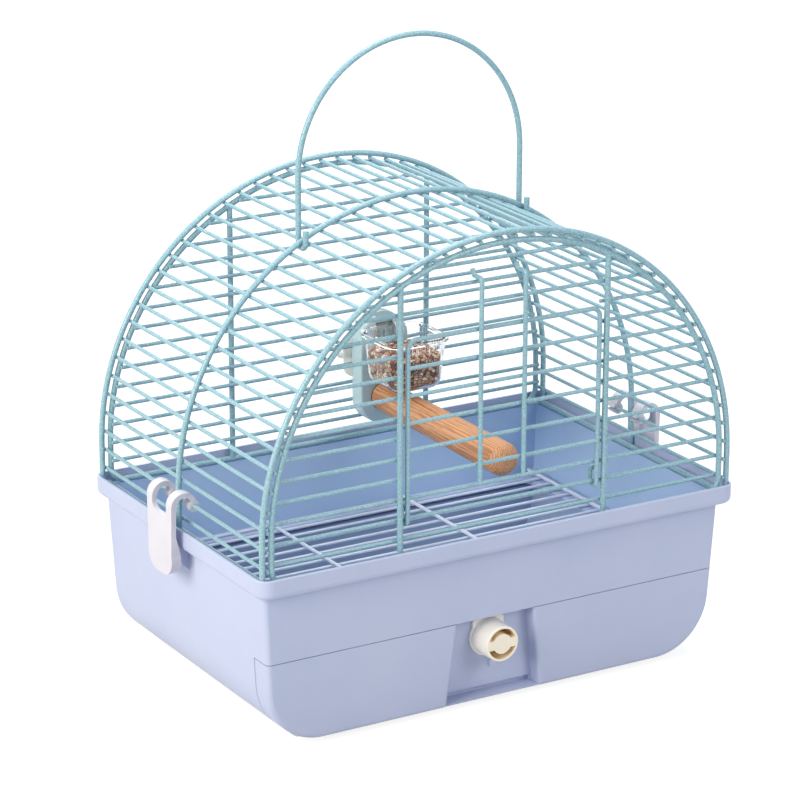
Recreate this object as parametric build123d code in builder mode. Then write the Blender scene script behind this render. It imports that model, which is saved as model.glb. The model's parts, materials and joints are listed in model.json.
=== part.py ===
"""Bird travel carrier: a plastic base with a pull-out drawer, a lift-off wire top and its fittings.

Millimetres. X runs to the right along the front, Y runs from front to back, Z is up.
The feet stand on Z = 0, and the Z axis passes through the middle of the base.
Heights called a rise are counted from the top of the base's rim.
"""

import os
from math import cos, pi, radians, sin, sqrt, tan

from build123d import *

# ---- Base: rim, ledge, walls --------------------------------------------------------------
rim_width = 337.0
rim_depth = 221.0
rim_top = 114.6
rim_height = 12.5
rim_corner = 9.0
rim_under_radius = 4.0
rim_edge_radius = 0.7
lip_wall = 2.0
lip_corner = 5.0
ledge_drop = 7.4
wall_setback = 7.0
front_setback = 9.5
back_setback = 4.5
tub_wall = 2.2
side_draft = 3.2
end_draft = 1.5
bottom_corner = 38.0
wall_corner = 3.0
foot_height = 3.2
foot_width = 15.0
foot_length = 20.0
foot_corner = 3.0
foot_side_inset = 38.0
foot_front_inset = 28.0
foot_back_inset = 44.0
shelf_height = 60.0
shelf_thickness = 2.4
shelf_side_width = 17.5
shelf_end_width = 14.5
shelf_corner = 5.0
boss_width = 10.0
boss_drop = 8.0
boss_slope = 8.5

# ---- Drawer -------------------------------------------------------------------------------
drawer_gap = 0.5
front_return = 17.6
tray_gap = 1.1
tray_wall = 1.8
tray_drop = 5.0
tray_back_gap = 2.0
runner_gap = 0.3
runner_width = 6.0
runner_x = 95.0
recess_x = -1.2
recess_top_width = 54.0
recess_bottom_width = 67.5
recess_depth = 12.0
recess_wall = 2.0
recess_edge = 2.4
pull_height = 5.2
pull_depth = 3.0
pull_ledge = 1.6
pull_setback = 0.4
stop_size = 4.0
stop_depth = 2.4
stop_x = 3.5
stop_drop = 18.5

# ---- Drawer latch -------------------------------------------------------------------------
knob_height = 41.6
knob_diameter = 23.8
knob_face_diameter = 22.6
knob_length = 18.6
knob_ring_wall = 1.5
knob_hollow_depth = 13.0
knob_core_diameter = 12.6
knob_bar_height = 6.0
knob_edge = 0.6
knob_flange_diameter = 26.0
knob_flange = 2.0
knob_face_gap = 0.1
tongue_width = 22.0
tongue_gap = 0.6
stem_diameter = 7.0
stem_gap = 0.08
stem_catch = 1.1
stem_catch_length = 3.0
stem_slot = 1.6

# ---- Floor grate --------------------------------------------------------------------------
grate_wire = 2.0
grate_cross_wire = 2.4
grate_rod_count = 17
grate_side_gap = 7.0
grate_end_gap = 9.1
grate_cross_count = 4
grate_overhang = 4.5
grate_seat_gap = 0.1

# ---- Wire top -----------------------------------------------------------------------------
heavy_wire = 3.6
thin_wire = 2.4
cage_setback = 6.0
arch_rise = 21.0
lip_gap = 0.5
seat_gap = 0.3
frame_corner = 9.4
roof_wire_count = 46
roof_wire_rise = 4.0
roof_wire_overhang = 1.3
bar_overlap = 0.3
front_rise = 5.6
front_top_gap = 9.8
back_rise = 9.0
back_top_gap = 14.2
back_bar_count = 14
post_x = 72.0
stub_overrun = 1.5
lower_bars = (0, 1, 2)
stub_bars = (3, 4, 5, 6, 7, 8, 9, 10)
upper_bars = (11, 12, 13)

# ---- Door ---------------------------------------------------------------------------------
door_wire = 2.9
door_half_width = 66.8
door_corner = 5.5
door_top_level = 9.77
door_bar_count = 5
door_bar_pitch = 16.8
hinge_bar = 1
hinge_gap = 0.3
hook_width = 7.0
hook_level = 1.66
stay_places = (-18.5, 12.0)
stay_foot_drop = 94.6
catch_bar = 12
catch_gap = 0.3
stay_bend = 3.0
stay_reach = 9.0
stay_tip = 3.6

# ---- Carry handle -------------------------------------------------------------------------
handle_radius = 78.4
handle_centre_rise = 203.3
handle_gap = 0.35
handle_tail = 7.0

# ---- Side clips ---------------------------------------------------------------------------
clip_y = 1.5
clip_width = 33.0
clip_waist = 30.0
clip_foot_width = 37.0
clip_thickness = 3.2
clip_standoff = 5.0
clip_wire_gap = 0.06
clip_tip_wall = 2.4
clip_tip_drop = 1.0
clip_mouth = 1.7
clip_foot_rise = -28.0
clip_waist_rise = -14.0
clip_foot_radius = 11.0
clip_slot_width = 18.0
clip_slot_rise = 10.0
clip_slot_radius = 5.0
clip_nub = 3.2
clip_nub_low_rise = -25.0
clip_nub_high_rise = -14.0
clip_swell_rise = -2.0

# ---- Perch, its mount and the clamp -------------------------------------------------------
mount_x = 31.5
mount_width = 35.0
mount_low_rise = 6.0
mount_high_rise = 80.0
mount_thickness = 11.5
mount_low_radius = 16.0
mount_high_radius = 17.0
mount_edge = 1.2
perch_diameter = 19.4
perch_end_diameter = 21.6
perch_length = 152.0
perch_rise = 24.0
perch_x = 31.0
perch_dome = 8.0
perch_socket = 2.0
perch_gap = 0.05
stud_diameter = 6.0
stud_bar = 3
stud_over_bar = 4.0
stud_head_diameter = 12.0
stud_head_height = 2.5
stud_overrun = 1.0
clamp_plate_width = 43.0
clamp_plate_height = 26.0
clamp_plate_thickness = 3.0
clamp_plate_corner = 6.0
nut_face_gap = 0.1
nut_bore_gap = 0.06
nut_hub_diameter = 13.0
nut_hub_length = 8.0
nut_span = 44.0
nut_wing_height = 8.0
nut_wing_thickness = 4.0

# ---- Feeder cup ---------------------------------------------------------------------------
cup_width = 43.0
cup_depth = 45.0
cup_foot_width = 38.0
cup_foot_depth = 40.0
cup_low_rise = 38.5
cup_high_rise = 72.5
cup_foot_radius = 8.0
cup_wall = 1.4
cup_flange = 1.8
cup_flange_height = 2.0
cup_corner = 10.0
cup_rib = 0.7
cup_rib_height = 9.0
cup_rib_pitch = 3.2
cup_back_gap = 0.5
slot_low_rise = 61.0
slot_width = 20.6
slot_neck = 13.6
slot_lip = 1.8
slot_depth = 4.6
tab_gap = 0.3
seed_top_rise = 61.0
seed_gap = 0.3
seed_edge = 1.5

# ---- Sizes that follow from the ones above ------------------------------------------------
rim_under = rim_top - rim_height
ledge_top = rim_top - ledge_drop
wall_width = rim_width - 2 * wall_setback
wall_depth = rim_depth - front_setback - back_setback
wall_middle = (front_setback - back_setback) / 2
base_low = foot_height
seam_height = shelf_height - shelf_thickness
front_y = wall_middle - wall_depth / 2
back_y = wall_middle + wall_depth / 2
return_y = front_y + front_return
drawer_top = seam_height - drawer_gap
recess_y = front_y + recess_depth
tray_inset = tub_wall + tray_gap

heavy_radius = heavy_wire / 2
thin_radius = thin_wire / 2
door_radius = door_wire / 2
cage_depth = rim_depth - 2 * cage_setback
arch_height = rim_top + arch_rise
arch_radius = rim_width / 2 - lip_wall - lip_gap - heavy_radius
roof_radius = arch_radius - heavy_radius - thin_radius
frame_radius = roof_radius - thin_radius - heavy_radius
leg_foot = ledge_top + seat_gap
sill_height = leg_foot + heavy_radius
front_frame_y = -cage_depth / 2
back_frame_y = cage_depth / 2
front_bars_y = front_frame_y + heavy_radius + thin_radius
back_bars_y = back_frame_y - heavy_radius - thin_radius
front_pitch = (arch_rise + frame_radius - front_rise - front_top_gap) / upper_bars[-1]
back_pitch = (arch_rise + frame_radius - back_rise - back_top_gap) / (back_bar_count - 1)
roof_straight = arch_rise - roof_wire_rise
roof_pitch = (2 * roof_straight + pi * roof_radius) / (roof_wire_count - 1)
clip_wire_height = rim_top + roof_wire_rise + roof_pitch

mount_back_y = back_bars_y - thin_radius
mount_front_y = mount_back_y - mount_thickness
stud_height = rim_top + back_rise + stud_bar * back_pitch + stud_over_bar
plate_front_y = back_bars_y + thin_radius
plate_back_y = plate_front_y + clamp_plate_thickness
cup_back_y = mount_front_y - cup_back_gap


def front_bar_height(level):
    """Height of one horizontal bar of the front panel, counted up from the lowest."""
    return rim_top + front_rise + level * front_pitch


def half_span(height, radius):
    """Half the width inside an arch of that radius, at a height."""
    above = max(height - arch_height, 0)
    return sqrt(radius**2 - above**2)


# ---- Helpers that work on the part being built ---------------------------------------------
def rod(start, end, diameter, mode=Mode.ADD):
    """A straight round wire or pin between two points."""
    run = Vector(*end) - Vector(*start)
    with BuildSketch(Plane(origin=start, z_dir=run)) as section:
        Circle(diameter / 2)
    extrude(section.sketch, amount=run.length, mode=mode)


def bent_wire(path, diameter):
    """A round wire bent along a path."""
    route = path.wire()
    with BuildSketch(Plane(origin=route @ 0, z_dir=route % 0)) as section:
        Circle(diameter / 2)
    sweep(section.sketch, path=route)


def arc_about(centre, start, end):
    """The shorter arc about a centre between two points."""
    centre = Vector(*centre)
    spoke = Vector(*start) - centre
    bisector = (spoke + Vector(*end) - centre).normalized()
    ThreePointArc(start, centre + bisector * spoke.length, end)


def block(low, high, mode=Mode.ADD):
    """A plain block between two opposite corners."""
    size = Vector(*high) - Vector(*low)
    with Locations((Vector(*low) + Vector(*high)) / 2):
        Box(size.X, size.Y, size.Z, mode=mode)


def save(part, name):
    """Label one finished piece and write its STEP file."""
    part.label = name
    export_step(part, f"parts/{name}.step")


# ---- Base tub and drawer ------------------------------------------------------------------
def base_form(inset, end_inset, low, high, corner):
    """The drafted body of the base, moved inwards, from one height to another."""
    side_slope = tan(radians(side_draft))
    end_slope = tan(radians(end_draft))
    high_x = wall_width / 2 - inset + (high - rim_under) * side_slope
    low_x = wall_width / 2 - inset + (low - rim_under) * side_slope
    high_y = end_inset - (high - rim_under) * end_slope
    low_y = end_inset - (low - rim_under) * end_slope
    with BuildPart() as form:
        with BuildSketch(Plane.XZ) as front_view:
            with BuildLine():
                Polyline((-high_x, high), (high_x, high), (low_x, low), (-low_x, low), close=True)
            make_face()
            fillet(front_view.vertices().sort_by(Axis.Y)[:2], corner)
        extrude(amount=rim_depth, both=True)
        with BuildSketch(Plane.YZ):
            with BuildLine():
                Polyline((front_y + high_y, high), (back_y - high_y, high), (back_y - low_y, low),
                         (front_y + low_y, low), close=True)
            make_face()
        extrude(amount=rim_width, both=True, mode=Mode.INTERSECT)
        ends = form.faces().sort_by(Axis.Y)
        outline = ends[0].edges() + ends[-1].edges()
        rounded = outline.filter_by(lambda edge: edge.center().Z < high - 0.1)
        fillet(rounded, max(wall_corner - inset, 0.8))
    return form.part


def make_tub():
    """The one-piece base: rim, ledge, walls, the grate's shelf, the drawer's bay and the feet."""
    foot_x = wall_width / 2 - foot_side_inset
    foot_places = (front_y + foot_front_inset, back_y - foot_back_inset)
    with BuildPart() as tub:
        with BuildSketch(Plane.XY.offset(rim_under)):
            RectangleRounded(rim_width, rim_depth, rim_corner)
        extrude(amount=rim_height)
        fillet(tub.faces().sort_by(Axis.Z)[0].edges(), rim_under_radius)
        fillet(tub.faces().sort_by(Axis.Z)[-1].edges(), rim_edge_radius)
        with BuildSketch(Plane.XY.offset(ledge_top)):
            RectangleRounded(rim_width - 2 * lip_wall, rim_depth - 2 * lip_wall, lip_corner)
        extrude(amount=rim_height, mode=Mode.SUBTRACT)
        add(base_form(0, 0, base_low, ledge_top, bottom_corner))
        add(base_form(tub_wall, tub_wall, shelf_height, rim_top, wall_corner), mode=Mode.SUBTRACT)
        bay_low = base_low + tub_wall
        bay = base_form(tub_wall, tub_wall, bay_low, seam_height, bottom_corner - tub_wall)
        add(bay, mode=Mode.SUBTRACT)
        block((-rim_width, -rim_depth, 0), (rim_width, return_y, seam_height), mode=Mode.SUBTRACT)
        with BuildSketch(Plane.XY.offset(seam_height)):
            with Locations((0, wall_middle)):
                RectangleRounded(wall_width - 2 * shelf_side_width, wall_depth - 2 * shelf_end_width, shelf_corner)
        extrude(amount=shelf_thickness, mode=Mode.SUBTRACT)
        with BuildSketch():
            with Locations(*[(x, y) for x in (-foot_x, foot_x) for y in foot_places]):
                RectangleRounded(foot_width, foot_length, foot_corner)
        extrude(amount=bay_low - 0.2)
        for side in (-1, 1):
            boss_x = side * rim_width / 2
            boss_root = side * (wall_width / 2 - tub_wall)
            boss_low = rim_under - boss_drop
            with BuildSketch(Plane.XZ):
                with BuildLine():
                    Polyline(
                        (boss_root, rim_under + rim_under_radius),
                        (boss_x, rim_under + rim_under_radius),
                        (boss_x, boss_low),
                        (boss_root, boss_low - boss_slope),
                        close=True,
                    )
                make_face()
            extrude(amount=boss_width / 2, both=True)
        add(base_form(tub_wall, tub_wall, shelf_height, rim_top, wall_corner), mode=Mode.SUBTRACT)
    return tub.part


def recess_prism(extra, depth, low):
    """The finger recess of the drawer's front, wider towards the bottom."""
    high_x = recess_top_width / 2 + extra
    low_x = recess_bottom_width / 2 + extra
    with BuildPart() as prism:
        with BuildSketch(Plane.XZ.offset(-front_y - depth)):
            with BuildLine():
                Polyline((recess_x - high_x, drawer_top), (recess_x + high_x, drawer_top),
                         (recess_x + low_x, low), (recess_x - low_x, low), close=True)
            make_face()
        extrude(amount=depth + recess_depth)
    return prism.part


def is_recess_edge(edge):
    """Whether an edge is one of the two upright front edges of the finger recess."""
    middle = edge.center()
    near_front = abs(middle.Y - front_y) < recess_depth / 4
    return near_front and abs(middle.X - recess_x) < recess_bottom_width / 2 and edge.length > knob_height


def make_drawer():
    """The drawer: a full-width front that returns round the sides, and the tray behind it."""
    tray_low = base_low + tray_inset
    tray_top = seam_height - tray_drop
    tray_back = back_y - tray_inset - tray_back_gap
    hollow_inset = tray_inset + tray_wall
    front_back = return_y - drawer_gap
    ledge_high = base_low + pull_ledge
    pull_top = base_low + pull_height
    with BuildPart() as front:
        add(base_form(0, 0, base_low, ledge_top, bottom_corner))
        block((-rim_width, front_back, 0), (rim_width, rim_depth, rim_top), mode=Mode.SUBTRACT)
        with BuildPart(mode=Mode.PRIVATE) as hollow:
            add(base_form(tub_wall, tub_wall, base_low + tub_wall, rim_top, bottom_corner - tub_wall))
            step_y = front_back - tray_wall
            block((-rim_width, step_y, 0), (rim_width, rim_depth, 2 * rim_top), mode=Mode.SUBTRACT)
        add(hollow.part, mode=Mode.SUBTRACT)
    with BuildPart() as drawer:
        add(base_form(tray_inset, tub_wall / 2, tray_low, tray_top, bottom_corner - tray_inset))
        block((-rim_width, tray_back, 0), (rim_width, rim_depth, rim_top), mode=Mode.SUBTRACT)
        add(front.part)
        with BuildPart(mode=Mode.PRIVATE) as hollow:
            inner_corner = bottom_corner - hollow_inset
            add(base_form(hollow_inset, tub_wall, tray_low + tray_wall, rim_top, inner_corner))
            back_face = tray_back - tray_wall
            block((-rim_width, back_face, 0), (rim_width, rim_depth, 2 * rim_top), mode=Mode.SUBTRACT)
        add(hollow.part, mode=Mode.SUBTRACT)
        block((-rim_width, -rim_depth, drawer_top), (rim_width, rim_depth, rim_top), mode=Mode.SUBTRACT)
        with BuildPart(mode=Mode.PRIVATE) as pocket:
            add(recess_prism(recess_wall, recess_depth + recess_wall, base_low))
            pocket_back = recess_y + pull_depth + recess_wall
            pocket_half = recess_bottom_width / 2 + recess_wall
            pocket_top = pull_top + recess_wall
            block((recess_x - pocket_half, front_y, base_low),
                  (recess_x + pocket_half, pocket_back, pocket_top))
            add(base_form(0, 0.5, base_low, rim_top, bottom_corner), mode=Mode.INTERSECT)
        add(pocket.part)
        add(recess_prism(0, recess_depth, 0), mode=Mode.SUBTRACT)
        fillet(drawer.edges().filter_by(is_recess_edge), recess_edge)
        with BuildPart(mode=Mode.PRIVATE) as ledge:
            block((recess_x - pocket_half, front_y, base_low), (recess_x + pocket_half, recess_y, ledge_high))
            add(base_form(0, pull_setback, base_low, rim_top, bottom_corner), mode=Mode.INTERSECT)
        add(ledge.part)
        pull_half = recess_bottom_width / 2 - recess_wall
        block((recess_x - pull_half, recess_y - recess_wall, ledge_high),
              (recess_x + pull_half, recess_y + pull_depth, pull_top), mode=Mode.SUBTRACT)
        rod((recess_x, recess_y - recess_wall, knob_height), (recess_x, recess_y + 2 * recess_wall, knob_height),
            stem_diameter + 2 * stem_gap, mode=Mode.SUBTRACT)
        block_x = recess_x + stop_x
        stop_z = knob_height - stop_drop
        block((block_x - stop_size / 2, recess_y - stop_depth, stop_z - stop_size / 2),
              (block_x + stop_size / 2, recess_y + recess_wall / 2, stop_z + stop_size / 2))
        runner_low = base_low + tub_wall + runner_gap
        for x in (-runner_x, runner_x):
            block((x - runner_width / 2, return_y, runner_low),
                  (x + runner_width / 2, tray_back - tray_wall, tray_low + tray_wall / 2))
    return drawer.part


def make_latch_knob():
    """The turning latch: a cupped knob with a grip bar, a tongue and a snap stem."""
    seat_y = recess_y - knob_face_gap
    face_y = seat_y - knob_length
    plate_y = seat_y - knob_flange
    tip_radius = seam_height - tongue_gap - knob_height
    catch_y = recess_y + recess_wall + knob_face_gap
    end_y = catch_y + stem_catch_length
    with BuildPart() as knob:
        with BuildSketch(Plane.XZ.offset(-seat_y)):
            with Locations((recess_x, knob_height)):
                Circle(tip_radius)
                Rectangle(tongue_width, tip_radius, align=(Align.CENTER, Align.MIN), mode=Mode.INTERSECT)
                Circle(knob_flange_diameter / 2)
        extrude(amount=knob_flange)
        with BuildSketch(Plane.XZ.offset(-plate_y)):
            with Locations((recess_x, knob_height)):
                Circle(knob_diameter / 2)
        with BuildSketch(Plane.XZ.offset(-face_y)):
            with Locations((recess_x, knob_height)):
                Circle(knob_face_diameter / 2)
        loft()
        fillet(knob.faces().sort_by(Axis.Y)[0].edges(), knob_edge)
        with BuildSketch(Plane.XZ.offset(-face_y)):
            with Locations((recess_x, knob_height)):
                Circle(knob_face_diameter / 2 - knob_ring_wall)
                Circle(knob_core_diameter / 2, mode=Mode.SUBTRACT)
                Rectangle(knob_diameter, knob_bar_height, mode=Mode.SUBTRACT)
        extrude(amount=-knob_hollow_depth, mode=Mode.SUBTRACT)
        rod((recess_x, plate_y, knob_height), (recess_x, end_y, knob_height), stem_diameter)
        with BuildSketch(Plane.XZ.offset(-catch_y)):
            with Locations((recess_x, knob_height)):
                Circle(stem_diameter / 2 + stem_catch)
        with BuildSketch(Plane.XZ.offset(-end_y)):
            with Locations((recess_x, knob_height)):
                Circle(stem_diameter / 2)
        loft()
        block((recess_x - stem_slot / 2, recess_y, knob_height - stem_diameter),
              (recess_x + stem_slot / 2, end_y + stem_slot, knob_height + stem_diameter), mode=Mode.SUBTRACT)
    return knob.part


# ---- Floor grate --------------------------------------------------------------------------
rod_height = shelf_height + grate_seat_gap + grate_wire / 2
cross_height = rod_height + grate_wire / 2 + grate_cross_wire / 2
grate_width = wall_width - 2 * grate_side_gap
grate_pitch = (wall_depth - 2 * grate_end_gap) / (grate_rod_count - 1)
grate_depth = (grate_rod_count - 1) * grate_pitch + 2 * grate_cross_wire
grate_cross_pitch = (grate_width - 2 * grate_overhang) / (grate_cross_count - 1)


def make_grate_rods():
    """The grate's rods, which run from side to side and rest on the shelf."""
    with BuildPart() as rods:
        with Locations((0, wall_middle, rod_height)):
            with GridLocations(0, grate_pitch, 1, grate_rod_count):
                Cylinder(grate_wire / 2, grate_width, rotation=(0, 90, 0))
    return rods.part


def make_grate_cross_rods():
    """The grate's stiffening rods, welded across the top of the others."""
    with BuildPart() as rods:
        with Locations((0, wall_middle, cross_height)):
            with GridLocations(grate_cross_pitch, 0, grate_cross_count, 1):
                Cylinder(grate_cross_wire / 2, grate_depth, rotation=(90, 0, 0))
    return rods.part


# ---- Wire top: arches, roof, panels -------------------------------------------------------
def make_arch(y):
    """A heavy arch whose two legs stand on the rim's ledge."""
    with BuildPart() as arch:
        with BuildLine() as path:
            Line((-arch_radius, y, leg_foot), (-arch_radius, y, arch_height))
            ThreePointArc((-arch_radius, y, arch_height), (0, y, arch_height + arch_radius),
                          (arch_radius, y, arch_height))
            Line((arch_radius, y, arch_height), (arch_radius, y, leg_foot))
        bent_wire(path, heavy_wire)
    return arch.part


def make_panel_frame(y):
    """The closed heavy frame of an end panel: sill, legs and arch bent from one wire."""
    corner_x = frame_radius - frame_corner
    corner_z = sill_height + frame_corner
    with BuildPart() as frame:
        with BuildLine() as path:
            Line((-corner_x, y, sill_height), (corner_x, y, sill_height))
            arc_about((corner_x, y, corner_z), (corner_x, y, sill_height), (frame_radius, y, corner_z))
            Line((frame_radius, y, corner_z), (frame_radius, y, arch_height))
            ThreePointArc((frame_radius, y, arch_height), (0, y, arch_height + frame_radius),
                          (-frame_radius, y, arch_height))
            Line((-frame_radius, y, arch_height), (-frame_radius, y, corner_z))
            arc_about((-corner_x, y, corner_z), (-frame_radius, y, corner_z), (-corner_x, y, sill_height))
        bent_wire(path, heavy_wire)
    return frame.part


def roof_wire_place(number):
    """Where one roof wire crosses the arches, counted from the left foot."""
    run = number * roof_pitch - roof_straight
    turn = run / roof_radius
    if run < 0:
        return (-roof_radius, 0, arch_height + run)
    if turn > pi:
        return (roof_radius, 0, arch_height - (turn - pi) * roof_radius)
    return (-roof_radius * cos(turn), 0, arch_height + roof_radius * sin(turn))


def make_roof_wires():
    """The thin wires that run from front to back under the arches."""
    with BuildPart() as wires:
        with Locations(*[roof_wire_place(number) for number in range(roof_wire_count)]):
            Cylinder(thin_radius, cage_depth + 2 * roof_wire_overhang, rotation=(90, 0, 0))
    return wires.part


def make_sill_wire(side):
    """The heavy wire along one side, lying on the ledge between the arches' feet."""
    x = side * (arch_radius - 2 * heavy_radius)
    with BuildPart() as wire:
        rod((x, front_frame_y, sill_height), (x, back_frame_y, sill_height), heavy_wire)
    return wire.part


def make_bars(heights, y):
    """Thin horizontal bars across an end panel, welded to the inside of its frame."""
    with BuildPart() as bars:
        for height in heights:
            reach = half_span(height, frame_radius + bar_overlap)
            rod((-reach, y, height), (reach, y, height), thin_wire)
    return bars.part


def make_stub_bars(side):
    """The short bars between the frame and the door post on one side."""
    with BuildPart() as bars:
        for level in stub_bars:
            height = front_bar_height(level)
            near = side * (post_x - heavy_radius - stub_overrun)
            far = side * half_span(height, frame_radius + bar_overlap)
            rod((near, front_bars_y, height), (far, front_bars_y, height), thin_wire)
    return bars.part


def make_post(x, y, frame):
    """A heavy upright, cut to fit the sill and the arch of its panel's frame."""
    with BuildPart() as post:
        rod((x, y, sill_height), (x, y, arch_height + half_span(arch_height + abs(x), frame_radius)), heavy_wire)
        add(frame, mode=Mode.SUBTRACT)
    return post.part


# ---- Door ---------------------------------------------------------------------------------
hinge_height = front_bar_height(hinge_bar)
hook_radius = thin_radius + hinge_gap + door_radius
door_y = front_bars_y - hook_radius
door_bars_y = door_y - (door_radius - thin_radius)
stay_y = door_y - 2 * door_radius
door_top = front_bar_height(door_top_level)


def make_door_frame():
    """The door's frame, one wire from hinge hook to hinge hook."""
    rear_y = door_y + hook_width
    rear_radius = rear_y - front_bars_y
    tip_y = door_y + 2 * door_radius + hinge_gap
    hook_top = front_bar_height(hook_level)
    top_z = door_top - door_corner
    top_x = door_half_width - door_corner
    low_z = hinge_height - hook_radius
    turn_z = low_z + rear_radius
    bend_z = hook_top - rear_radius
    x = door_half_width
    with BuildPart() as frame:
        with BuildLine() as path:
            Line((0, door_y, door_top), (top_x, door_y, door_top))
            arc_about((top_x, door_y, top_z), (top_x, door_y, door_top), (x, door_y, top_z))
            Line((x, door_y, top_z), (x, door_y, hinge_height))
            arc_about((x, front_bars_y, hinge_height), (x, door_y, hinge_height), (x, front_bars_y, low_z))
            arc_about((x, front_bars_y, turn_z), (x, front_bars_y, low_z), (x, rear_y, turn_z))
            Line((x, rear_y, turn_z), (x, rear_y, bend_z))
            arc_about((x, front_bars_y, bend_z), (x, rear_y, bend_z), (x, front_bars_y, hook_top))
            Line((x, front_bars_y, hook_top), (x, tip_y, hook_top))
        bent_wire(path, door_wire)
        mirror(about=Plane.YZ)
    return frame.part


def make_door_bars(frame):
    """The door's horizontal bars, each end cut to fit the frame's legs."""
    with BuildPart() as bars:
        for row in range(door_bar_count):
            height = door_top - (row + 1) * door_bar_pitch
            rod((-door_half_width, door_bars_y, height), (door_half_width, door_bars_y, height), thin_wire)
        add(frame, mode=Mode.SUBTRACT)
    return bars.part


def make_door_stays():
    """The two springy stays, whose bent tips catch over a bar above the door."""
    catch_height = front_bar_height(catch_bar) + thin_radius + catch_gap + door_radius
    with BuildPart() as stays:
        for x in stay_places:
            with BuildLine(Plane.YZ.offset(x)) as path:
                FilletPolyline(
                    (stay_y, door_top - stay_foot_drop),
                    (stay_y, catch_height),
                    (stay_y + stay_reach, catch_height),
                    (stay_y + stay_reach + stay_tip / 2, catch_height + stay_tip),
                    radius=stay_bend / 1.5,
                )
            bent_wire(path, door_wire)
    return stays.part


# ---- Carry handle -------------------------------------------------------------------------
handle_pivot = arch_height + half_span(arch_height + handle_radius, arch_radius)
handle_slope = half_span(arch_height + handle_radius, arch_radius) / arch_radius
handle_hook = (heavy_wire + handle_gap) / handle_slope


def make_carry_handle():
    """The bail: an arc on two legs, each hooked under the middle arch."""
    centre = rim_top + handle_centre_rise
    with BuildPart() as handle:
        with BuildLine() as path:
            for x in (-handle_radius, handle_radius):
                Line((x, -handle_hook, handle_pivot + handle_tail), (x, -handle_hook, handle_pivot))
                ThreePointArc((x, -handle_hook, handle_pivot), (x, 0, handle_pivot - handle_hook),
                              (x, handle_hook, handle_pivot))
                Line((x, handle_hook, handle_pivot), (x, handle_hook, centre))
            ThreePointArc((-handle_radius, handle_hook, centre), (0, handle_hook, centre + handle_radius),
                          (handle_radius, handle_hook, centre))
        bent_wire(path, heavy_wire)
        fillet(handle.edges().filter_by(GeomType.CIRCLE).group_by(Axis.Y)[0], heavy_radius / 3)
    return handle.part


# ---- Side clips ---------------------------------------------------------------------------
def make_clip():
    """The right-hand clip: two fingers curled onto a roof wire and a plate down past the rim."""
    tip_radius = thin_radius + clip_wire_gap + clip_tip_wall
    tip_in = roof_radius + clip_thickness / 2
    tip_out = roof_radius - clip_thickness / 2
    inner_x = rim_width / 2 + clip_standoff
    outer_x = inner_x + clip_thickness
    bend_x = (outer_x + tip_out) / 2
    bend_z = clip_wire_height + clip_tip_drop
    foot_z = rim_top + clip_foot_rise
    with BuildPart() as clip:
        with BuildSketch(Plane.XZ):
            with BuildLine():
                Polyline(
                    (outer_x, bend_z),
                    (outer_x, foot_z),
                    (inner_x, foot_z),
                    (inner_x - clip_nub, rim_top + clip_nub_low_rise),
                    (inner_x - clip_nub, rim_top + clip_nub_high_rise),
                    (inner_x, rim_top + clip_swell_rise),
                    (inner_x, bend_z),
                )
                ThreePointArc((inner_x, bend_z), (bend_x, bend_z + inner_x - bend_x), (tip_in, bend_z))
                Polyline((tip_in, bend_z), (tip_in, clip_wire_height), (tip_out, clip_wire_height), (tip_out, bend_z))
                ThreePointArc((tip_out, bend_z), (bend_x, bend_z + outer_x - bend_x), (outer_x, bend_z))
            make_face()
            with Locations((roof_radius, clip_wire_height)):
                Circle(tip_radius)
        extrude(amount=clip_foot_width, both=True)
        waist_z = rim_top + clip_waist_rise
        top_z = bend_z + outer_x - bend_x + clip_thickness
        with BuildSketch(Plane(origin=(0, clip_y, 0), x_dir=(0, 1, 0), z_dir=(1, 0, 0))) as outline:
            with BuildLine():
                Polyline(
                    (-clip_width / 2, top_z),
                    (clip_width / 2, top_z),
                    (clip_waist / 2, waist_z),
                    (clip_foot_width / 2, foot_z),
                    (-clip_foot_width / 2, foot_z),
                    (-clip_waist / 2, waist_z),
                    close=True,
                )
            make_face()
            fillet(outline.vertices().sort_by(Axis.Y)[:2], clip_foot_radius)
            slot_middle = rim_top + clip_slot_rise + clip_width
            with Locations((0, slot_middle)):
                RectangleRounded(clip_slot_width, 2 * clip_width, clip_slot_radius, mode=Mode.SUBTRACT)
        extrude(amount=rim_width, mode=Mode.INTERSECT)
        bore = 2 * (thin_radius + clip_wire_gap)
        rod((roof_radius, -clip_width, clip_wire_height), (roof_radius, clip_width, clip_wire_height), bore,
            mode=Mode.SUBTRACT)
        block((roof_radius - 2 * tip_radius, -clip_width, clip_wire_height - clip_mouth / 2),
              (roof_radius, clip_width, clip_wire_height + clip_mouth / 2), mode=Mode.SUBTRACT)
    return clip.part


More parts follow.
